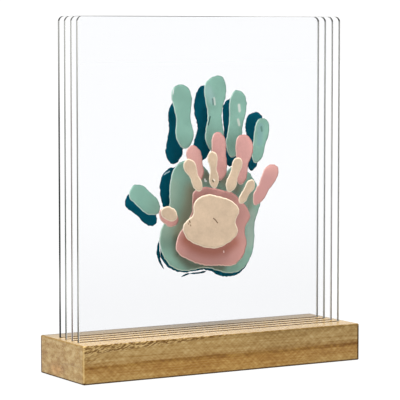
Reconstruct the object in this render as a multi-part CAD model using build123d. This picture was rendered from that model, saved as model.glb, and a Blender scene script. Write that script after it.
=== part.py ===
from build123d import *
import os

# A wooden block of glued bars with slots in its top, and clear panels that stand in the slots.
# Each panel carries one painted handprint on its front face.
# Millimetres: +X runs along the block, -Y is the front, and Z = 0 is the table.

# Wooden block
base_length = 271.0
end_wall = 6.65
face_wall = 21.0
slot_floor = 19.0
base_edge_radius = 1.2

# Slots, open at the top and stopped short of the block's ends
slot_pitch = 11.0
slot_depth = 13.0
slot_mouth_chamfer = 0.3

# Clear panels, from front to back
panel_names = ("front", "second", "third", "back")
panel_height = 280.0
panel_thickness = 3.0
panel_corner_radius = 5.0
panel_edge_chamfer = 0.2
panel_side_clearance = 0.15
panel_end_clearance = 0.35

# Paint, and each hand's length from the heel of its palm to the tip of its middle finger
paint_thickness = 0.25
cream_hand_length = 82.0
pink_hand_length = 114.5
green_hand_length = 168.8
teal_hand_length = 166.5

# Middle of the prints, from the middle of the panel above the block
prints_right = 0.3
prints_down = 1.0

# Rounding of a finger's root, as a share of the width there
root_round = 0.55

# Sizes that follow from those above
slot_width = panel_thickness + 2 * panel_side_clearance
slot_length = base_length - 2 * end_wall
panel_width = slot_length - 2 * panel_end_clearance
base_height = slot_floor + slot_depth
base_depth = (len(panel_names) - 1) * slot_pitch + slot_width + 2 * face_wall
shown_middle = base_height + (panel_height - slot_depth) / 2

# Shapes of the prints, as x and z from the middle of the prints.
# A finger is its tip, its root, its widths at the tip, the waist and the root, and its end: how far
# sideways and onward from the tip it lies, and how blunt it is, as shares of the width at the tip.
cream_shape = {
    "palm": [
        (-20, -28), (-18, -20), (-8, -15.5), (6, -17.5), (18, -22), (24.5, -31), (21, -40),
        (23.5, -46.5), (17, -55.5), (0, -61), (-16, -57.5), (-28, -49.5), (-30, -40), (-22.5, -33.5),
    ],
    "thumb": ((-45.5, -29), (-41, -31), 11, 11, 11, (0, 0.49, 0.2)),
    "index": ((-23.8, 9), (-15.3, -8), 12, 8, 9, (0, 0.46, 0.2)),
    "middle": ((-1.5, 15), (0, -5.5), 10, 7, 9, (0, 0.52, 0.18)),
    "ring": ((23, 9.5), (16, -9), 10, 8.5, 10, (0, 0.49, 0.2)),
    "little": ((36, -9), (27.5, -21), 9, 7, 7.5, (0, 0.49, 0.2)),
}
pink_shape = {
    "palm": [
        (-15, -18), (-12, -12.5), (-2, -10), (12, -12.5), (25, -16), (36, -25), (42.5, -36),
        (37.5, -48), (39, -58), (34, -72.5), (25, -78.5), (12, -78), (-2, -77), (-17, -72),
        (-30.5, -62), (-29, -51), (-19, -38), (-15, -28),
    ],
    "thumb": ((-40.3, -32.5), (-36, -35.5), 13.5, 13.5, 14, (0, 0.49, 0.2)),
    "index": ((-13.6, 17.5), (-8.9, 1), 14.4, 12.5, 11, (0, 0.53, 0.2)),
    "middle": ((10.9, 28.5), (12, 2.5), 14, 14, 14, (-0.04, 0.53, 0.16)),
    "ring": ((36.8, 23), (33.4, -4), 18, 12.5, 10, (-0.08, 0.53, 0.2)),
    "little": ((63.4, -1), (49.6, -23), 15.4, 11.8, 9.6, (0.05, 0.52, 0.2)),
}
green_shape = {
    "palm": [
        (-28, 3), (-22, 10), (-13, 13), (2, 8), (16, -5), (25, 1.5), (35, 6), (47, 1), (56, -10),
        (60, -27), (55, -42), (54, -56), (51, -72), (41, -84), (25, -86), (6, -80.8), (-18, -82),
        (-31, -76), (-39.5, -62), (-39.5, -46), (-32, -31), (-31, -13),
    ],
    "thumb": ((-61, -14.8), (-48, -25.5), 16.5, 16.5, 16, (0, 0.52, 0.2)),
    "index": ((-18.9, 66), (-15.7, 31.5), 19.5, 14, 16.5, (-0.04, 0.54, 0.2)),
    "middle": ((14.2, 72.5), (13.3, 28), 22, 14, 17, (0.08, 0.48, 0.22)),
    "ring": ((37.3, 61), (32.3, 21), 17.4, 14, 13.5, (-0.05, 0.6, 0.1)),
    "little": ((62, 38.5), (56.3, 13.5), 15, 13, 10.5, (-0.02, 0.54, 0.14)),
}
teal_shape = {
    "palm": [
        (-22, 6), (-30, 2), (-34, -8), (-32.5, -22), (-28, -40), (-33.5, -61), (-30.7, -74.5), (-19, -83),
        (-3, -84.5), (12, -84), (24, -89), (37, -91), (48, -87), (56, -74), (58, -50), (57, -22),
        (50, -6), (36, -2), (12, -3), (-8, 4),
    ],
    "thumb": ((-59.8, -22.3), (-43.2, -36.9), 15, 12, 12.8, (0, 0.52, 0.2)),
    "index": ((-16.8, 52), (-20.2, 18), 18, 14, 16.5, (0.2, 0.72, 0.12)),
    "middle": ((10.2, 53.5), (7.3, 20.5), 20.5, 11.5, 17, (0.04, 1.09, 0.12)),
    "ring": ((36.7, 54), (36, 13), 16.5, 13, 14, (0.1, 0.6, 0.2)),
    "little": ((60.4, 38.5), (58.2, 6.5), 18, 12, 10.5, (0.08, 0.7, 0.2)),
}
# Thin marks beside the heel of the teal palm, where the edge of the hand just touched.
# A mark is its start, its middle, its end and its width.
teal_streaks = [
    ((-34.8, -56), (-35.6, -68), (-30, -81), 3.2),
    ((-13.2, -88.6), (-8.6, -86.9), (-4, -86.3), 1.9),
    ((-6, -86.2), (3.5, -86), (13, -85), 1.8),
]

# One print for each panel, from front to back
prints = (
    ("cream", cream_shape, cream_hand_length),
    ("pink", pink_shape, pink_hand_length),
    ("green", green_shape, green_hand_length),
    ("teal", teal_shape, teal_hand_length),
)


def panel_y(index):
    """Middle plane of a panel, counted from the front."""
    return (index - (len(panel_names) - 1) / 2) * slot_pitch


def slotted_block():
    block = Box(base_length, base_depth, base_height, align=(Align.CENTER, Align.CENTER, Align.MIN))
    block = fillet(block.edges(), base_edge_radius)
    top = Plane.XY.offset(base_height)
    for index in range(len(panel_names)):
        mouth = top * Pos(0, panel_y(index)) * Rectangle(slot_length, slot_width)
        block -= extrude(mouth, amount=-slot_depth)
        mouth_edges = block.edges().filter_by_position(
            Axis.Z, base_height, base_height
        ).filter_by_position(
            Axis.Y, panel_y(index) - slot_width / 2, panel_y(index) + slot_width / 2
        )
        block = chamfer(mouth_edges, slot_mouth_chamfer)
    return block


def span(x, y, z):
    """A box between pairs of planes."""
    size = [high - low for low, high in (x, y, z)]
    middle = [(high + low) / 2 for low, high in (x, y, z)]
    return Pos(*middle) * Box(*size)


def wood_bars():
    """The block's bars: a floor, and on it two rails, the dividers between the slots and two ends."""
    all_x = (-base_length / 2, base_length / 2)
    slot_x = (-slot_length / 2, slot_length / 2)
    all_y = (-base_depth / 2, base_depth / 2)
    walls = [panel_y(index) + side * slot_width / 2 for index in range(len(panel_names)) for side in (-1, 1)]
    slots_y = (walls[0], walls[-1])
    floor_z = (0, slot_floor)
    upper_z = (slot_floor, base_height)
    spans = {
        "wood_floor": span(all_x, all_y, floor_z),
        "wood_front_rail": span(all_x, (all_y[0], slots_y[0]), upper_z),
        "wood_back_rail": span(all_x, (slots_y[1], all_y[1]), upper_z),
        "wood_left_end": span((all_x[0], slot_x[0]), slots_y, upper_z),
        "wood_right_end": span((slot_x[1], all_x[1]), slots_y, upper_z),
    }
    for number, divider_y in enumerate(zip(walls[1::2], walls[2::2]), start=1):
        spans[f"wood_divider_{number}"] = span(slot_x, divider_y, upper_z)
    block = slotted_block()
    return {name: block & piece for name, piece in spans.items()}


def clear_panel(index):
    front_middle = (0, panel_y(index) - panel_thickness / 2, slot_floor + panel_height / 2)
    front = Plane(origin=front_middle, x_dir=(1, 0, 0), z_dir=(0, -1, 0))
    outline = RectangleRounded(panel_width, panel_height, panel_corner_radius)
    sheet = extrude(front * outline, amount=-panel_thickness)
    rims = sheet.faces().sort_by(Axis.Y)
    return chamfer(rims[0].edges() + rims[-1].edges(), panel_edge_chamfer)


def finger_points(finger):
    """Points round a finger: a padded tip, a narrower waist and a rounded root."""
    tip_point, root_point, tip_width, waist_width, root_width, (sideways, onward, blunt) = finger
    tip = Vector(*tip_point)
    root = Vector(*root_point)
    waist = (tip + root) / 2
    along = (tip - root).normalized()
    across = Vector(along.Y, -along.X)
    end = tip + (across * sideways + along * onward) * tip_width
    return [
        end - across * tip_width * blunt,
        end + across * tip_width * blunt,
        tip + across * tip_width / 2,
        waist + across * waist_width / 2,
        root + across * root_width / 2,
        root - along * root_width * root_round,
        root - across * root_width / 2,
        waist - across * waist_width / 2,
        tip - across * tip_width / 2,
    ]


def streak_outline(streak, scale):
    """A thin crescent between two arcs."""
    start_point, middle_point, end_point, width = streak
    start = Vector(*start_point) * scale
    middle = Vector(*middle_point) * scale
    end = Vector(*end_point) * scale
    along = (end - start).normalized()
    across = Vector(along.Y, -along.X) * width * scale / 2
    return Wire([ThreePointArc(start, middle + across, end), ThreePointArc(end, middle - across, start)])


def print_scale(shape, hand_length):
    heel = min(z for x, z in shape["palm"])
    fingertip = max(point.Y for point in finger_points(shape["middle"]))
    return hand_length / (fingertip - heel)


def paint(outline, index):
    """A coat of paint on the front face of a panel."""
    front_face = (prints_right, panel_y(index) - panel_thickness / 2, shown_middle - prints_down)
    plane = Plane(origin=front_face, x_dir=(1, 0, 0), z_dir=(0, -1, 0))
    return extrude(plane * make_face(outline), amount=paint_thickness)


def patch_outline(name, shape, scale):
    points = shape[name] if name == "palm" else finger_points(shape[name])
    return Spline(*[Vector(*point) * scale for point in points], periodic=True)


nodes = wood_bars()
for index, panel_name in enumerate(panel_names):
    nodes[f"panel_{panel_name}"] = clear_panel(index)
    colour, shape, hand_length = prints[index]
    scale = print_scale(shape, hand_length)
    for patch_name in shape:
        nodes[f"{colour}_{patch_name}"] = paint(patch_outline(patch_name, shape, scale), index)

teal_index = [colour for colour, shape, hand_length in prints].index("teal")
teal_scale = print_scale(teal_shape, teal_hand_length)
nodes["teal_heel_streaks"] = Compound(
    children=[paint(streak_outline(streak, teal_scale), teal_index) for streak in teal_streaks]
)

os.makedirs("parts", exist_ok=True)
for name, shape in nodes.items():
    export_step(shape, f"parts/{name}.step")
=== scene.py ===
import math

import bpy
import numpy as np
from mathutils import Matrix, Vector, geometry, noise


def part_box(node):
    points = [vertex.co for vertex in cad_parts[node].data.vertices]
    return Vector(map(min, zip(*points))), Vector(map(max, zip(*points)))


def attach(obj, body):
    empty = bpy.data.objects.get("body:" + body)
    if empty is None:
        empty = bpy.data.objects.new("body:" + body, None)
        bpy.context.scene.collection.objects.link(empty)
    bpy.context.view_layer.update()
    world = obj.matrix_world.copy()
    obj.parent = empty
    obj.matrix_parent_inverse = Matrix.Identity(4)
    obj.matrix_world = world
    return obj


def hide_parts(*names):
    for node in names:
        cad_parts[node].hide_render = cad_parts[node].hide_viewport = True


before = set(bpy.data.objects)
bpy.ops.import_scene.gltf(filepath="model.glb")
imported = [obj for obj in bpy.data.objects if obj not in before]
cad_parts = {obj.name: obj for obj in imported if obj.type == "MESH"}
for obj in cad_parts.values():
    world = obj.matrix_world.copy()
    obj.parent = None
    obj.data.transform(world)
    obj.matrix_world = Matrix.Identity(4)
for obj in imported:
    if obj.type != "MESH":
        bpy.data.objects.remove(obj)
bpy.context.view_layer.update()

# A wooden block with clear panels standing in its slots, each with one painted handprint.
# Metres in the frame: +X runs along the block, -Y is the front, Z = 0 is the table.
# Patterns in the materials, and the values named below as such, are in millimetres.
MM = 0.001

# Camera
camera_place = (-0.93026, -1.57102, 0.28752)
camera_right = math.radians(30.5535)
camera_down = math.radians(4.529)
camera_lens = 193.32
camera_sensor = 36.0

# Studio: a white floor that glows like a light table, a white surround that is dimmer high up in
# front, and a broad light from above
white = (1.0, 1.0, 1.0, 1.0)
floor_side = 30.0
floor_colour = (0.66, 0.66, 0.66, 1.0)
floor_glow = 1.015
floor_glow_share = 0.9
surround_level = 1.085
surround_dimmer = 0.7
dimmer_front = (0.3, -0.3)
dimmer_rise = (0.12, 0.3)
key_strength = 6.0
key_height = math.radians(77)
key_left = math.radians(18)
key_softness = math.radians(40)

# How many clear surfaces the light may pass through
clear_layers = 48

# How bright a white card would look at the front of the object in this light, and the darkest colour
light_level = 1.15
least_light = 0.0005

# Prints from front to back: colour's name, panel's name, body's name
prints = (
    ("cream", "front", "front_panel"),
    ("pink", "second", "second_panel"),
    ("green", "third", "third_panel"),
    ("teal", "back", "back_panel"),
)
patches = ("palm", "thumb", "index", "middle", "ring", "little")


def linear(level):
    """A 0 to 255 display level as linear light."""
    share = level / 255
    return share / 12.92 if share <= 0.04045 else ((share + 0.055) / 1.055) ** 2.4


def shown(red, green, blue, sheen=0.0, light=1.0):
    """The surface colour that looks like this display colour under a sheen, in a share of the light."""
    levels = [max(linear(level) - sheen, least_light) for level in (red, green, blue)]
    return tuple(level / (light_level * light) for level in levels) + (1.0,)


class Surface:
    """A material or a world in the making, with short calls for its nodes."""

    def __init__(self, owner):
        self.owner = owner
        self.owner.use_nodes = True
        self.tree = self.owner.node_tree
        self.tree.nodes.clear()

    def feed(self, socket, value):
        if isinstance(value, bpy.types.NodeSocket):
            self.tree.links.new(value, socket)
        else:
            socket.default_value = value

    def node(self, kind, inputs=(), **settings):
        made = self.tree.nodes.new("ShaderNode" + kind)
        for key, value in settings.items():
            setattr(made, key, value)
        for key, value in dict(inputs).items():
            self.feed(made.inputs[key], value)
        return made

    def math(self, operation, *values):
        return self.node("Math", enumerate(values), operation=operation).outputs[0]

    def vector(self, operation, first, second):
        return self.node("VectorMath", {0: first, 1: second}, operation=operation).outputs

    def scaled(self, vector, value):
        return self.node("VectorMath", {0: vector, "Scale": value}, operation="SCALE").outputs[0]

    def place(self):
        """The point on the object, in millimetres."""
        return self.scaled(self.node("TexCoord").outputs["Object"], 1 / MM)

    def split(self, vector):
        return self.node("SeparateXYZ", {0: vector}).outputs

    def noise(self, vector, sizes, detail=2.0, roughness=0.5):
        """Noise from 0 to 1 whose grains have these sizes in millimetres along X, Y and Z."""
        grains = self.vector("MULTIPLY", vector, tuple(1 / size for size in sizes))[0]
        inputs = {"Vector": grains, "Scale": 1.0, "Detail": detail, "Roughness": roughness}
        return self.node("TexNoise", inputs).outputs[0]

    def step(self, value, low, high, start=0.0, end=1.0):
        """A smooth step from start at low to end at high."""
        inputs = {"Value": value, "From Min": low, "From Max": high, "To Min": start, "To Max": end}
        return self.node("MapRange", inputs, interpolation_type="SMOOTHSTEP").outputs["Result"]

    def share(self, value, low, high):
        """How far a value lies from low to high, from 0 to 1."""
        inputs = {"Value": value, "From Min": low, "From Max": high}
        return self.node("MapRange", inputs).outputs["Result"]

    def ramp(self, value, low, high, stops):
        """Colours at places between low and high."""
        made = self.node("ValToRGB", {0: self.share(value, low, high)})
        elements = made.color_ramp.elements
        while len(elements) < len(stops):
            elements.new(0.5)
        for element, (spot, colour) in zip(elements, stops):
            element.position = (spot - low) / (high - low)
            element.color = colour
        return made.outputs[0]

    def mix(self, factor, first, second):
        return self.node("Mix", {0: factor, 6: first, 7: second}, data_type="RGBA").outputs[2]

    def deepened(self, colour, power):
        """A colour made darker and richer where the power is over 1, and paler where it is under 1."""
        return self.node("Gamma", {"Color": colour, "Gamma": power}).outputs[0]

    def from_line(self, place, start, end):
        """How far a point lies, seen from the front, from the line between two points of x and z."""
        run = (end[0] - start[0], 0, end[1] - start[1])
        flat = self.vector("MULTIPLY", place, (1, 0, 1))[0]
        offset = self.vector("SUBTRACT", flat, (start[0], 0, start[1]))[0]
        along = self.vector("DOT_PRODUCT", offset, run)["Value"]
        full = run[0] ** 2 + run[2] ** 2
        nearest = self.scaled(run, self.share(along, 0.0, full))
        return self.vector("DISTANCE", offset, nearest)["Value"]

    def bump(self, height, depth):
        """A normal for relief of this depth in millimetres."""
        return self.node("Bump", {"Height": height, "Distance": depth * MM, "Strength": 1.0}).outputs[0]

    def blend(self, factor, first, second):
        return self.node("MixShader", {0: factor, 1: first.outputs[0], 2: second.outputs[0]})

    def finish(self, shader, output="OutputMaterial"):
        self.node(output, {"Surface": shader.outputs[0]})
        return self.owner


def new_material(name):
    return Surface(bpy.data.materials.new(name))


# Wood: flat-sawn, with a dark growth line along the front, and coarse pores near the top on the left.
# Places and reaches are in millimetres. A pattern's grain is its size along X, Y and Z.
wood_sheen = 0.02
wood_gloss = 0.25
wood_roughness = (0.24, 0.34)
wood_relief = 0.02
fleck_relief = 1.5
front_y = -39.15
left_x = -135.5
wood_top = 32.0
edge_round = 1.2
slots_half_depth = 18.2
slot_half_length = 128.9
front_reach = (2.2, 0.8)
end_facing = (0.6, 0.9)
up_facing = (0.8, 0.95)

# The growth line: its height above the table, its rise to the right, its sway, and its ring
line_height = 14.4
line_rise = 0.005
line_sway = 3.2
sway_grain = (45, 40, 40)
ring_top_y = -25.0
ring_radius = 190.0

# Tones along the grain, by height above the growth line, with a redder heart below it in the middle
grain_tones = (
    (-16, (168, 137, 84)),
    (-10, (168, 133, 79)),
    (-4, (161, 123, 70)),
    (-1.8, (152, 114, 62)),
    (0, (143, 104, 54)),
    (2.2, (160, 126, 76)),
    (5, (167, 136, 86)),
    (14, (168, 138, 88)),
    (19, (166, 135, 84)),
)
heart_x = (105, 40)
heart_heights = (0, -3)
heart_share = 0.65

# The growth line's broken core, which is fainter at the left
core_reach = (2.2, 0.1)
core_blots = (12, 10, 2.5)
core_blot_span = (0.35, 0.65)
core_blot_shares = (0.2, 0.85)
core_starts = (left_x + 15, left_x + 75)
core_left_share = 0.35

# The dark band under the front's top edge, and the darker right part, as changes of level
under_top_z = (wood_top - 4.5, wood_top - 1.5)
under_top_x = (-70, 20)
under_top_share = 0.4
right_x = (-10, 60)
right_heights = (-3, 3)
right_changes = (-0.03, -0.12)

# Patches, fine lines and a slanting shimmer, as powers that deepen or pale the colour
grain_span = (0.25, 0.75)
patch_grain = (30, 16, 9)
patch_powers = (1.05, 0.95)
fine_grain = (60, 1.6, 1.5)
fine_powers = (0.13, -0.13)
fine_span = (0.2, 0.8)
shimmer_grain = (8, 4, 1.7)
shimmer_slant = math.radians(38)
shimmer_power = 0.03
front_shimmer_power = 0.1

# Pores: a band under the front's top edge that narrows to the right, and a patch at the left end
pore_drop = 7.6
pore_reach = 160.0
pore_lean = 0.25
pore_grain = (4.4, 3.0, 1.15)
band_edge = (-1.2, 1.5)
band_end = (pore_reach + 20, pore_reach - 30)
coarse_z = (14, 20)
coarse_reach = (30, 0)
coarse_share = 0.5
fleck_span = (0.47, 0.56)
fleck_share = 0.85
glint_span = (0.46, 0.38)
glint_share = 0.55

# End grain: mottled tones, a trace of the growth line and a flat orange stain
end_tones = (
    (0.3, (174, 140, 92)),
    (0.45, (186, 154, 101)),
    (0.6, (193, 163, 110)),
    (0.75, (188, 154, 98)),
)
end_tone_grain = (30, 15, 11)
spot_grain = (5.0, 9.0, 4.0)
spot_span = (0.3, 0.7)
spot_powers = (1.4, 0.8)
end_line_reach = (1.6, 0.2)
end_line_share = 0.3
stain_y = 10.0
stain_z = 7.0
stain_flatness = 2
stain_reach = (17, 3)
stain_spots = (0.4, 0.6)
stain_shares = (0.2, 0.8)

# Edges darkened by painted shade, but hardly at the top, and a painted highlight where the front meets
# the left end, with reaches as multiples of the edges' rounding
level_edge_shade = (1.6, 0.6)
upright_edge_shade = (2.2, 1.3)
top_shade = (3.0, 1.0)
edge_shade_share = 0.9
top_shade_change = -0.55
highlight_reach = (2.4, 1.6)
highlight_foot = (1.0, 2.0)
highlight_line_reach = (1.2, 0.4)
highlight_line_share = 0.5

# The top: its tint, which is a painted sheen that makes it paler, and changes of level: painted light on
# the bars between the slots, and painted shade behind them and at the rear edge
top_sheen_tint = (1.06, 1.11, 1.34)
slot_soft = 0.3
slot_lip = (0.02, 0.15)
light_between_slots = 0.4
behind_y = (slots_half_depth - 10, slots_half_depth + 14)
behind_shade = -0.3
rear_y = (-front_y - 7, -front_y - 2)
rear_shade = -0.3


def wood_tone(red, green, blue):
    return shown(red, green, blue, wood_sheen)


def wood_stops(tones):
    return [(spot, wood_tone(*tone)) for spot, tone in tones]


def growth_height(s, place):
    """How far a point lies above the dark growth line, which sways and curves with the ring."""
    x, y, z = s.split(place)
    across = s.math("SUBTRACT", y, ring_top_y)
    curve = s.math("MULTIPLY", s.math("MULTIPLY", across, across), 0.5 / ring_radius)
    front_curve = (front_y - ring_top_y) ** 2 * 0.5 / ring_radius
    height = s.math("ADD", s.math("ADD", z, curve), s.math("MULTIPLY", x, -line_rise))
    height = s.math("SUBTRACT", height, line_height + front_curve)
    sway = s.noise(place, sway_grain, detail=2)
    return s.math("MULTIPLY_ADD", s.math("SUBTRACT", sway, 0.5), line_sway, height)


def on_front(s, y):
    """1 on the front face and 0 behind it."""
    behind, at_face = front_reach
    return s.step(y, front_y + behind, front_y + at_face)


def face_grain(s, place, height):
    """The colour along the grain, and its fine lines."""
    x, y, z = s.split(place)
    front = on_front(s, y)
    colour = s.ramp(height, grain_tones[0][0], grain_tones[-1][0], wood_stops(grain_tones))
    heart = s.math("MULTIPLY", s.step(s.math("ABSOLUTE", x), *heart_x), s.step(height, *heart_heights))
    colour = s.mix(s.math("MULTIPLY", heart, heart_share), colour, wood_tone(160, 119, 62))
    blots = s.noise(place, core_blots, detail=3, roughness=0.6)
    core = s.step(s.math("ABSOLUTE", height), *core_reach)
    core = s.math("MULTIPLY", core, s.step(blots, *core_blot_span, *core_blot_shares))
    core = s.math("MULTIPLY", core, s.step(x, *core_starts, core_left_share, 1.0))
    colour = s.mix(core, colour, wood_tone(130, 92, 42))
    under_top = s.math("MULTIPLY", s.step(z, *under_top_z), s.step(x, *under_top_x))
    under_top = s.math("MULTIPLY", s.math("MULTIPLY", under_top, front), under_top_share)
    colour = s.mix(under_top, colour, wood_tone(128, 97, 52))
    to_right = s.math("MULTIPLY", s.step(x, *right_x), s.step(height, *right_heights, *right_changes))
    colour = s.scaled(colour, s.math("ADD", to_right, 1.0))

    patch = s.noise(place, patch_grain, detail=3)
    fine = s.noise(place, fine_grain, detail=3, roughness=0.65)
    patch_power = s.step(patch, *grain_span, *patch_powers)
    power = s.math("ADD", patch_power, s.step(fine, *grain_span, *fine_powers))
    depth = s.math("MULTIPLY_ADD", front, front_shimmer_power - shimmer_power, shimmer_power)
    for angle in (-shimmer_slant, shimmer_slant):
        turn = s.node("VectorRotate", {"Vector": place, "Angle": angle}, rotation_type="Y_AXIS")
        shimmer = s.noise(turn.outputs[0], shimmer_grain, detail=1)
        power = s.math("MULTIPLY_ADD", s.step(shimmer, *grain_span, 1.0, -1.0), depth, power)
    return s.deepened(colour, power), fine


def pores(s, place):
    """Where dark flecks and pale glints lie on the front."""
    x, y, z = s.split(place)
    from_left = s.math("SUBTRACT", x, left_x)
    band_foot = s.math("MULTIPLY_ADD", from_left, pore_drop / pore_reach, wood_top - pore_drop)
    band = s.step(s.math("SUBTRACT", z, band_foot), *band_edge)
    band = s.math("MULTIPLY", band, s.step(from_left, *band_end))
    coarse = s.step(from_left, *coarse_reach, 0.0, coarse_share)
    coarse = s.math("MULTIPLY", coarse, s.step(z, *coarse_z))
    band = s.math("MULTIPLY", s.math("MAXIMUM", band, coarse), on_front(s, y))
    leaning = s.math("MULTIPLY_ADD", x, -pore_lean, z)
    grain_place = s.node("CombineXYZ", {0: x, 1: y, 2: leaning}).outputs[0]
    grain = s.noise(grain_place, pore_grain, detail=1)
    flecks = s.math("MULTIPLY", band, s.step(grain, *fleck_span))
    glints = s.math("MULTIPLY", band, s.step(grain, *glint_span))
    return flecks, glints


def end_grain(s, place, height):
    """The colour across the grain."""
    spots = s.noise(place, spot_grain, detail=4, roughness=0.6)
    tones = s.noise(place, end_tone_grain, detail=2)
    colour = s.ramp(tones, 0.0, 1.0, wood_stops(end_tones))
    flattened = s.vector("MULTIPLY", place, (0, 1, stain_flatness))[0]
    from_stain = s.vector("DISTANCE", flattened, (0, stain_y, stain_flatness * stain_z))["Value"]
    stain = s.step(spots, *stain_spots, *stain_shares)
    stain = s.math("MULTIPLY", stain, s.step(from_stain, *stain_reach))
    colour = s.mix(stain, colour, wood_tone(196, 142, 84))
    colour = s.deepened(colour, s.step(spots, *spot_span, *spot_powers))
    line = s.step(s.math("ABSOLUTE", height), *end_line_reach, 0.0, end_line_share)
    return s.mix(line, colour, wood_tone(140, 104, 62))


def edge_tones(s, place, colour):
    """The edges: painted shade darkens them, but hardly so at the top, and a painted highlight lies
    where the front meets the left end.
    """
    x, y, z = s.split(place)

    def within(distance, reach, *ends):
        """A smooth step over a reach that is given in edge roundings."""
        start, end = reach
        return s.step(distance, start * edge_round, end * edge_round, *ends)

    to_end = s.math("SUBTRACT", -left_x, s.math("ABSOLUTE", x))
    to_face = s.math("SUBTRACT", -front_y, s.math("ABSOLUTE", y))
    to_top = s.math("SUBTRACT", wood_top, z)
    from_upright = s.math("MAXIMUM", to_end, to_face)
    from_level = s.math("MAXIMUM", s.math("MINIMUM", to_end, to_face), s.math("MINIMUM", z, to_top))
    shaded_edge = s.math("MAXIMUM", within(from_level, level_edge_shade), within(from_upright, upright_edge_shade))
    share = s.math("MULTIPLY_ADD", within(to_top, top_shade), top_shade_change, edge_shade_share)
    # Painted shade on the rounded edges
    dark = s.mix(s.math("MULTIPLY", shaded_edge, share), colour, wood_tone(66, 50, 30))
    near_left = within(s.math("SUBTRACT", x, left_x), highlight_reach)
    near_front = within(s.math("SUBTRACT", y, front_y), highlight_reach)
    corner = s.math("MULTIPLY", s.math("MULTIPLY", near_left, near_front), within(z, highlight_foot))
    highlight_line = within(from_upright, highlight_line_reach, 0.0, highlight_line_share)
    # Painted highlight on the rounded corner where the front meets the left end
    pale = s.mix(highlight_line, colour, wood_tone(224, 194, 138))
    return s.mix(corner, dark, pale), shaded_edge


def top_tones(s, place, normal, colour):
    """The top made paler by a painted sheen, painted light on its bars between the slots, painted shade
    on the wood behind them and at the rear edge, and painted shade in the slots.
    """
    x, y, z = s.split(place)
    facing_up = s.step(s.split(normal)[2], *up_facing)
    # Painted sheen: the top is paler than the sides
    colour = s.mix(facing_up, colour, s.vector("MULTIPLY", colour, top_sheen_tint)[0])
    across = s.step(s.math("ABSOLUTE", y), slots_half_depth + slot_soft, slots_half_depth)
    along = s.step(s.math("ABSOLUTE", x), slot_half_length + slot_soft, slot_half_length)
    among = s.math("MULTIPLY", across, along)
    # Painted shade behind the slots and at the rear edge
    behind = s.math("MULTIPLY", s.step(y, *behind_y), facing_up)
    rear = s.math("MULTIPLY", s.step(y, *rear_y), facing_up)
    level = s.math("MULTIPLY_ADD", behind, behind_shade, 1.0)
    level = s.math("MULTIPLY_ADD", rear, rear_shade, level)
    # Painted light on the bars between the slots
    level = s.math("MULTIPLY_ADD", among, light_between_slots, level)
    # Painted shade down in the slots
    below_top = s.step(s.math("SUBTRACT", wood_top, z), *slot_lip)
    return s.mix(s.math("MULTIPLY", among, below_top), s.scaled(colour, level), wood_tone(70, 42, 18))


def wood():
    s = new_material("wood")
    place = s.place()
    height = growth_height(s, place)
    colour, fine = face_grain(s, place, height)
    flecks, glints = pores(s, place)
    colour = s.mix(s.math("MULTIPLY", flecks, fleck_share), colour, wood_tone(104, 72, 22))
    colour = s.mix(s.math("MULTIPLY", glints, glint_share), colour, wood_tone(214, 182, 126))
    normal = s.node("NewGeometry").outputs["True Normal"]
    at_end = s.step(s.math("ABSOLUTE", s.split(normal)[0]), *end_facing)
    colour = s.mix(at_end, colour, end_grain(s, place, height))
    colour, shaded_edge = edge_tones(s, place, colour)
    relief = s.math("SUBTRACT", fine, s.math("MULTIPLY", flecks, fleck_relief))
    shader = s.node("BsdfPrincipled", {
        "Base Color": top_tones(s, place, normal, colour),
        "Roughness": s.math("MAXIMUM", s.step(fine, *fine_span, *wood_roughness), shaded_edge),
        "Specular IOR Level": wood_gloss,
        "Normal": s.bump(relief, wood_relief),
    })
    return s.finish(shader)


# Acrylic faces: what they let through low down, less there as painted shade, and higher up, and their
# gloss at a grazing angle
face_tint = (0.9867, 0.9878, 0.99, 1.0)
shaded_low_face_tint = (0.9799, 0.9809, 0.9831, 1.0)
tint_heights = (45, 145)
face_roughness = 0.02
grazing_gloss = 0.4
grazing_power = 5.0

# Each panel's edge is pale with a dark line of painted shade along it, tinted by a painted reflection of
# the print and greyer near the top.
# For each panel: the line's place from the panel's middle, half its width, its colours beside the print
# and at the top, and its strengths on the left, where it also changes with the height, and on the right,
# where it is narrower.
edge_facing = (0.8, 0.95)
edge_pale = shown(234, 234, 231)
edge_roughness = 0.35
edge_gloss = 0.1
edge_lines = {
    "front": (0.45, 1.3, shown(52, 49, 37), shown(66, 66, 62), 1.0, 0.8),
    "second": (-0.2, 0.98, shown(92, 72, 70), shown(78, 76, 72), 1.0, 0.85),
    "third": (0.3, 1.2, shown(40, 52, 48), shown(92, 94, 88), 1.0, 0.75),
    "back": (0.0, 1.5, shown(6, 9, 12), shown(84, 84, 78), 1.15, 0.65),
}
line_soft = (0.3, -0.2)
line_fade = (205, 285)
line_levels = (
    (45, 1.0), (62, 0.74), (80, 0.66), (112, 0.95), (147, 0.92), (180, 0.8), (213, 0.82), (247, 0.64),
    (285, 0.54),
)
left_to_right = (-1, 1)
right_narrowing = 1.8

# Painted shade on the edge's rounded corners, and on its bevels and line along the top
corner_facing = (0.1, 0.3)
corner_share = 0.5
corner_shade = shown(34, 34, 33)
bevel_facing = (0.5, 0.65)
bevel_middle = -45.0
bevel_reach = (100, 40)
bevel_shares = (0.6, 1.0)
top_facing = (0.8, 0.98)
top_edge_shade = shown(20, 21, 21)


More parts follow.
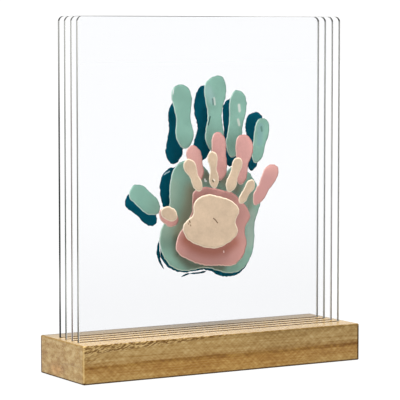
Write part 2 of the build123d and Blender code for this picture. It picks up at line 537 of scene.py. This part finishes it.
def edge_tint(s, panel, place, turns):
    """The colour of a panel's edge, by the place on it and by how far it turns to each side, with
    painted shade and a painted reflection of the print.
    """
    x, y, z = s.split(place)
    nx, ny, nz = turns
    line_place, line_half, print_reflection, top_colour, on_left, on_right = edge_lines[panel]
    low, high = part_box("panel_" + panel)
    middle = (low.y + high.y) / 2 / MM + line_place
    from_line = s.math("ABSOLUTE", s.math("SUBTRACT", y, middle))
    from_line = s.math("MULTIPLY", from_line, s.step(x, *left_to_right, 1.0, right_narrowing))
    outer, inner = line_soft
    line = s.step(from_line, line_half + outer, line_half + inner)
    stops = [(height, (level, level, level, 1.0)) for height, level in line_levels]
    by_height = s.ramp(z, line_levels[0][0], line_levels[-1][0], stops)
    strength = s.step(x, *left_to_right, s.math("MULTIPLY", by_height, on_left), on_right)
    # The line's painted reflection of the print, greyer above it
    line_colour = s.mix(s.step(z, *line_fade), print_reflection, top_colour)
    tint = s.mix(s.math("MULTIPLY", line, strength), edge_pale, line_colour)

    # Painted shade on the rounded corners, bevels and top line
    corner = s.math("MULTIPLY", s.step(nx, *corner_facing), s.step(nz, *corner_facing))
    corner = s.math("MULTIPLY", corner, s.math("MAXIMUM", line, corner_share))
    tint = s.mix(corner, tint, corner_shade)
    bevel = s.math("MULTIPLY", s.step(nz, *bevel_facing), s.step(ny, *bevel_facing))
    from_middle = s.math("ABSOLUTE", s.math("SUBTRACT", x, bevel_middle))
    bevel = s.math("MULTIPLY", bevel, s.step(from_middle, *bevel_reach, *bevel_shares))
    top_line = s.math("MULTIPLY", line, s.step(nz, *top_facing))
    return s.mix(s.math("MAXIMUM", bevel, top_line), tint, top_edge_shade)


def acrylic(panel):
    s = new_material("acrylic_" + panel)
    place = s.place()
    normal = s.node("NewGeometry").outputs["True Normal"]
    turns = [s.math("ABSOLUTE", part) for part in s.split(normal)]
    # Painted shade: the faces let less through low down
    tint = s.mix(s.step(s.split(place)[2], *tint_heights), shaded_low_face_tint, face_tint)
    clear = s.node("BsdfTransparent", {"Color": tint})
    gloss = s.node("BsdfGlossy", {"Color": white, "Roughness": face_roughness})
    facing = s.node("LayerWeight").outputs["Facing"]
    grazing = s.math("MULTIPLY", s.math("POWER", facing, grazing_power), grazing_gloss)
    cut = s.node("BsdfPrincipled", {
        "Base Color": edge_tint(s, panel, place, turns),
        "Roughness": edge_roughness,
        "Specular IOR Level": edge_gloss,
    })
    on_edge = s.step(turns[1], *edge_facing, 1.0, 0.0)
    return s.finish(s.blend(on_edge, s.blend(grazing, clear, gloss), cut))


# Paint: each print's sheen, how much of the light reaches it behind the panels, and its gloss
print_looks = {
    "cream": (0.02, 1.045, 0.25),
    "pink": (0.02, 0.89, 0.25),
    "green": (0.02, 0.826, 0.25),
    "teal": (0.002, 0.54, 0.03),
}
paint_roughness = (0.45, 0.6)
paint_relief = 0.04
paint_span = (0.2, 0.8)
blotch_grain = (14, 14, 14)
blotch_levels = (0.88, 1.12)
dab_grain = (1.6, 1.6, 1.6)
dab_levels = (0.95, 1.05)


def print_tone(print_name, red, green, blue):
    """The paint colour that looks like this display colour on that print."""
    sheen, light, _ = print_looks[print_name]
    return shown(red, green, blue, sheen, light)


paints = {
    "cream": print_tone("cream", 209, 185, 159),
    "pink": print_tone("pink", 212, 160, 153),
    "green": print_tone("green", 137, 178, 162),
    "teal": print_tone("teal", 10, 70, 86),
}

# The prints' raised rims, with painted light and shade: their colours where they face down to the left
# and where they face up to the right, and their strength
rim_reach = (1.25, 0.375)
rim_facing = (-0.8, 0.0, -0.6)
rim_turn = (-0.2, 0.2)
rim_light_and_shade = {
    "cream": (print_tone("cream", 250, 234, 210), print_tone("cream", 242, 224, 198), 0.85),
    "pink": (print_tone("pink", 240, 206, 194), print_tone("pink", 172, 122, 116), 0.7),
    "green": (print_tone("green", 208, 230, 220), print_tone("green", 104, 138, 128), 0.7),
    "teal": (print_tone("teal", 6, 54, 68), print_tone("teal", 4, 42, 54), 0.6),
}

# Marks in the prints, from painted shadows and painted light to scratches: points as x and z, how wide
# the mark is and how far it fades, its strength and its colour
marks = {
    "cream": (
        (((-23.9, 127.6), (-23.4, 126.2)), 0.3, 0.7, 1.0, shown(96, 72, 44)),
        (((-24.8, 125.2), (-24.6, 124.8)), 0.2, 0.6, 1.0, shown(120, 90, 58)),
        (((-22.9, 124.0), (-22.7, 123.2)), 0.2, 0.6, 1.0, shown(120, 90, 58)),
        (((-0.4, 128.6), (1.6, 127.0), (3.6, 124.6)), 0.25, 0.65, 1.0, shown(96, 68, 42)),
        (((-1.3, 160.8), (-0.6, 159.7)), 0.4, 0.9, 1.0, shown(92, 82, 62)),
        (((-0.3, 161.6), (0.6, 160.6)), 0.3, 0.8, 1.0, shown(240, 232, 214)),
    ),
    "pink": (
        (((-8, 115), (28, 115)), 20, 54, 0.7, print_tone("pink", 190, 140, 131)),
        # Painted shadow of the cream palm on the pink palm, under its lower edge
        (((-21, 110), (-14, 104), (-4, 100), (6, 98.7), (17, 100), (27, 106)), 0, 9, 0.75,
         print_tone("pink", 166, 102, 84)),
        (((49, 140), (60, 156)), 4, 14, 0.7, print_tone("pink", 196, 146, 142)),
        # Painted light: the pink index finger made paler where the cream fingers' shade falls on it
        (((-14, 184), (-9.5, 166)), 2, 9, 0.6, print_tone("pink", 226, 174, 166)),
        (((16.3, 98.9), (16.5, 97.8)), 0.3, 0.7, 1.0, shown(250, 222, 214)),
    ),
    "green": (
        # Painted warm light bounced from the pink print onto the green palm
        (((-5, 125), (30, 125)), 25, 54, 0.4, print_tone("green", 152, 172, 152)),
        # Painted shadow of the prints in front on the green palm, between the fingers
        (((4, 163), (21, 161), (35, 152)), 0, 11, 0.85, print_tone("green", 122, 118, 100)),
        # Painted shadow of the pink little finger on the green palm
        (((50, 144), (48, 128)), 0, 7, 0.5, print_tone("green", 118, 116, 96)),
        # Painted warm bounce light from the pink palm, in its shade on the green palm
        (((-8.6, 151), (-10.6, 140), (-13.5, 129), (-21, 117)), 0, 12, 0.55,
         print_tone("green", 174, 160, 128)),
        # Painted shadow under the pink palm's lower edge
        (((-23, 110), (-22, 98), (-11, 88), (3, 84.5), (21, 83)), 0, 8, 0.7,
         print_tone("green", 96, 88, 70)),
        (((52, 128), (50, 104)), 1, 8, 0.5, print_tone("green", 174, 186, 176)),
        (((-30, 156), (-35, 118)), 2, 12, 0.4, print_tone("green", 168, 186, 168)),
        (((7, 237), (11, 228)), 1, 6, 0.6, print_tone("green", 158, 188, 184)),
        (((4.2, 160.2), (4.6, 158.6)), 0.5, 1.0, 1.0, shown(250, 252, 248)),
        (((5.6, 158.9), (5.7, 158.3)), 0.3, 0.7, 1.0, shown(240, 244, 240)),
        # Painted highlight on a ridge of paint, with painted shade on its left side
        (((13.3, 229.4), (14.2, 224.0)), 0.35, 1.3, 1.0, shown(210, 222, 212)),
        (((11.9, 228.6), (12.4, 224.0)), 0.3, 1.2, 0.8, shown(86, 122, 118)),
        (((7.6, 206.8), (9.4, 213.6)), 0.4, 0.9, 1.0, shown(62, 100, 96)),
        # Painted highlights on ridges of paint
        (((38.3, 223.0), (38.9, 218.0)), 0.5, 1.9, 1.0, shown(220, 228, 218)),
        (((37.4, 210.4), (38.6, 206.0)), 0.5, 1.8, 1.0, shown(214, 222, 210)),
        (((60.2, 204.0), (59.4, 190.0)), 1.2, 4.5, 0.6, print_tone("green", 128, 166, 168)),
        (((61.0, 203.6), (61.5, 200.4)), 0.4, 1.6, 0.85, shown(98, 142, 126)),
        (((-26.5, 237.4), (-27.1, 233.6)), 0.3, 0.7, 1.0, shown(230, 238, 234)),
    ),
    "teal": (
        (((-29.4, 164.8), (-27.2, 166.4)), 0.25, 0.6, 1.0, shown(206, 232, 236)),
        (((-26.4, 166.2), (-24.4, 167.4)), 0.25, 0.6, 1.0, shown(206, 232, 236)),
    ),
}


def paint(print_name):
    s = new_material(print_name + "_paint")
    place = s.place()
    _, _, gloss = print_looks[print_name]
    blotch = s.noise(place, blotch_grain, detail=3)
    dabs = s.noise(place, dab_grain, detail=3, roughness=0.6)
    level = s.step(blotch, *paint_span, *blotch_levels)
    level = s.math("MULTIPLY", level, s.step(dabs, *paint_span, *dab_levels))
    colour = s.scaled(paints[print_name][:3], level)
    for points, width, fade, strength, mark_colour in marks[print_name]:
        nearest = s.from_line(place, *points[:2])
        for start, end in zip(points[1:], points[2:]):
            nearest = s.math("MINIMUM", nearest, s.from_line(place, start, end))
        colour = s.mix(s.step(nearest, fade, width, 0.0, strength), colour, mark_colour)
    # Painted highlight and shade on the rims, by which way they face
    rim_highlight, rim_shade, rim_strength = rim_light_and_shade[print_name]
    normal = s.node("NewGeometry").outputs["Normal"]
    facing = s.vector("DOT_PRODUCT", normal, rim_facing)["Value"]
    rim_colour = s.mix(s.step(facing, *rim_turn), rim_shade, rim_highlight)
    rim = s.step(s.node("Attribute", attribute_name="from_rim").outputs["Fac"], *rim_reach)
    colour = s.mix(s.math("MULTIPLY", rim, rim_strength), colour, rim_colour)
    shader = s.node("BsdfPrincipled", {
        "Base Color": colour,
        "Roughness": s.step(dabs, *paint_span, *paint_roughness),
        "Specular IOR Level": gloss,
        "Normal": s.bump(dabs, paint_relief),
    })
    return s.finish(shader)


# A coat of paint, in millimetres
coat_thickness = 0.25
coat_lift = 0.02
rim_height = 0.05
rim_round = 0.7
ridge_height = 0.09
ridge_from_rim = 1.1
ridge_width = 0.5
dab_height = 0.05
dab_size = 2.6
wander = 0.5
wander_wave = 5.0
ragged = {"cream": 0.32, "pink": 0.42, "green": 0.42, "teal": 0.65}
ragged_wave = 1.8
streak_ragged = 0.32

# Seeds of the coats' patterns: the first, and the step from print to print
first_seed = 0.5
seed_step = 10.0

# The mesh of a coat, in millimetres, with the margin inside the rim as a share of the inner step
rim_step = 0.8
inner_step = 1.25
inner_margin = 0.6
fewest_points = 12
face_tolerance = 0.01
outline_decimals = 3
join_tolerance = 1e-5
fill_inside = 1


def outlines(node):
    """The closed outlines of a coat's front face, as arrays of x and z in millimetres."""
    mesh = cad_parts[node].data
    front = min(vertex.co.y for vertex in mesh.vertices)
    edges = set()
    for polygon in mesh.polygons:
        corners = [mesh.vertices[index].co for index in polygon.vertices]
        if max(corner.y for corner in corners) - front > face_tolerance * MM:
            continue
        places = [(corner.x / MM, corner.z / MM) for corner in corners]
        spots = [(round(x, outline_decimals), round(z, outline_decimals)) for x, z in places]
        edges.update(zip(spots, spots[1:] + spots[:1]))
    following = {first: second for first, second in edges if (second, first) not in edges}
    loops = []
    while following:
        loop = [min(following)]
        while loop[-1] in following:
            loop.append(following.pop(loop[-1]))
        loops.append(np.array(loop[:-1]))
    return sorted(loops, key=lambda loop: tuple(loop[0]))


def even_points(loop, step):
    """Points at even steps along a closed outline."""
    closed = np.vstack([loop, loop[:1]])
    lengths = np.hypot(*np.diff(closed, axis=0).T)
    travelled = np.concatenate([[0], np.cumsum(lengths)])
    count = max(fewest_points, round(travelled[-1] / step))
    stops = np.linspace(0, travelled[-1], count, endpoint=False)
    return np.column_stack([np.interp(stops, travelled, closed[:, axis]) for axis in (0, 1)])


def wavy(loop, roughness, seed):
    """An outline that wanders a little in and out, as wet paint does, with a rougher wave on it."""
    along = np.roll(loop, -1, axis=0) - np.roll(loop, 1, axis=0)
    outward = np.column_stack([along[:, 1], -along[:, 0]]) / np.hypot(*along.T)[:, None]
    moved = loop.copy()
    for size, wave in ((wander, wander_wave), (roughness, ragged_wave)):
        sway = [noise.noise(Vector((x / wave, z / wave, seed))) for x, z in loop]
        moved += outward * np.array(sway)[:, None] * size
    return moved


def inside(points, loop):
    """Which points lie inside a closed outline."""
    found = np.zeros(len(points), bool)
    x, z = points.T
    for (x1, z1), (x2, z2) in zip(loop, np.roll(loop, -1, axis=0)):
        if z1 == z2:
            continue
        crosses = (z1 > z) != (z2 > z)
        found ^= crosses & (x < (x2 - x1) * (z - z1) / (z2 - z1) + x1)
    return found


def from_rim(points, loop):
    """How far each point lies from a closed outline."""
    nearest = np.full(len(points), np.inf)
    for start, end in zip(loop, np.roll(loop, -1, axis=0)):
        run = end - start
        share = np.clip((points - start) @ run / (run @ run), 0, 1)
        nearest = np.minimum(nearest, np.hypot(*(points - start - share[:, None] * run).T))
    return nearest


def inner_points(loop):
    """A triangular grid of points inside an outline."""
    low = loop.min(axis=0)
    high = loop.max(axis=0)
    row_step = inner_step * math.sqrt(3) / 2
    rows = np.arange(low[1], high[1], row_step)
    columns = np.arange(low[0], high[0], inner_step)
    grid = np.array([(x + inner_step / 2 * (row % 2), z) for row, z in enumerate(rows) for x in columns])
    grid = grid[inside(grid, loop)]
    return grid[from_rim(grid, loop) > inner_step * inner_margin]


def coat_heights(points, depth, seed):
    """How far the paint stands off the panel: a rounded rim, a low ridge inside it, and dabs."""
    share = np.clip(depth / rim_round, 0, 1)
    body = coat_thickness * np.sqrt(1 - (1 - share) ** 2)
    ridge = ridge_height * np.exp(-((depth - ridge_from_rim) / ridge_width) ** 2)
    dabs = [noise.noise(Vector((x / dab_size, z / dab_size, seed))) for x, z in points]
    return np.maximum(rim_height, body + ridge + share * dab_height * np.array(dabs))


def coat(name, node, roughness, seed):
    """A mesh for one coat of paint, with a flat back just off the panel and a domed front."""
    panel_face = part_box(node)[1].y / MM - coat_lift
    vertices = []
    depths = []
    faces = []
    for loop in outlines(node):
        rim = wavy(even_points(loop, rim_step), roughness, seed)
        points = np.vstack([rim, inner_points(rim)])
        flat = [Vector(point) for point in points]
        around = [range(len(rim))]
        filled = geometry.delaunay_2d_cdt(flat, [], around, fill_inside, join_tolerance)
        spots, _, triangles, *_ = filled
        spots = np.array([tuple(spot) for spot in spots])
        depth = from_rim(spots, rim)
        heights = coat_heights(spots, depth, seed)
        first = len(vertices)
        count = len(spots)
        vertices += [(x, panel_face - height, z) for (x, z), height in zip(spots, heights)]
        vertices += [(x, panel_face, z) for x, z in spots]
        depths += [*depth, *depth]
        sides = set()
        for triangle in triangles:
            corners = list(triangle)
            sides.update(zip(corners, corners[1:] + corners[:1]))
            faces.append([first + corner for corner in corners])
            faces.append([first + count + corner for corner in reversed(corners)])
        for start, end in sides:
            if (end, start) not in sides:
                faces.append([first + end, first + start, first + count + start, first + count + end])
    mesh = bpy.data.meshes.new(name)
    mesh.from_pydata([Vector(vertex) * MM for vertex in vertices], [], faces)
    mesh.attributes.new("from_rim", "FLOAT", "POINT").data.foreach_set("value", depths)
    mesh.validate()
    mesh.shade_smooth()
    mesh.update()
    piece = bpy.data.objects.new(name, mesh)
    bpy.context.scene.collection.objects.link(piece)
    return piece


def dress(node, material):
    """Gives a node of the frame its material."""
    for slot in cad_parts[node].material_slots:
        slot.material = material


def studio():
    scene = bpy.context.scene
    scene.view_settings.view_transform = "Standard"
    scene.cycles.transparent_max_bounces = clear_layers

    lens = bpy.data.cameras.new("camera")
    lens.lens = camera_lens
    lens.sensor_width = camera_sensor
    camera = bpy.data.objects.new("camera", lens)
    camera.location = camera_place
    camera.rotation_euler = (math.pi / 2 - camera_down, 0, -camera_right)
    scene.collection.objects.link(camera)
    scene.camera = camera

    half = floor_side / 2
    corners = [(-half, -half, 0), (half, -half, 0), (half, half, 0), (-half, half, 0)]
    sheet = bpy.data.meshes.new("floor")
    sheet.from_pydata(corners, [], [(0, 1, 2, 3)])
    s = new_material("floor")
    matt = s.node("BsdfDiffuse", {"Color": floor_colour})
    glow = s.node("Emission", {"Color": white, "Strength": floor_glow})
    sheet.materials.append(s.finish(s.blend(floor_glow_share, matt, glow)))
    floor = bpy.data.objects.new("floor", sheet)
    scene.collection.objects.link(floor)

    s = Surface(bpy.data.worlds.new("surround"))
    _, y, z = s.split(s.node("TexCoord").outputs["Generated"])
    dim = s.math("MULTIPLY", s.step(y, *dimmer_front), s.step(z, *dimmer_rise))
    level = s.math("MULTIPLY_ADD", dim, -surround_dimmer, surround_level)
    background = s.node("Background", {"Color": white, "Strength": level})
    scene.world = s.finish(background, "OutputWorld")

    lamp = bpy.data.lights.new("key", "SUN")
    lamp.energy = key_strength
    lamp.angle = key_softness
    key = bpy.data.objects.new("key", lamp)
    across = math.cos(key_height)
    towards = Vector((-math.sin(key_left) * across, -math.cos(key_left) * across, math.sin(key_height)))
    key.rotation_euler = towards.to_track_quat("Z", "Y").to_euler()
    scene.collection.objects.link(key)


def handprints():
    for number, (colour, _, body) in enumerate(prints):
        material = paint(colour)
        roughness = {colour + "_" + patch: ragged[colour] for patch in patches}
        if colour == "teal":
            roughness["teal_heel_streaks"] = streak_ragged
        for place, node in enumerate(roughness):
            seed = seed_step * number + place + first_seed
            piece = coat(node + "_paint", node, roughness[node], seed)
            piece.data.materials.append(material)
            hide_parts(node)
            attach(piece, body)


studio()
timber = wood()
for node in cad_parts:
    if node.startswith("wood_"):
        dress(node, timber)
for _, panel, _ in prints:
    dress("panel_" + panel, acrylic(panel))
handprints()
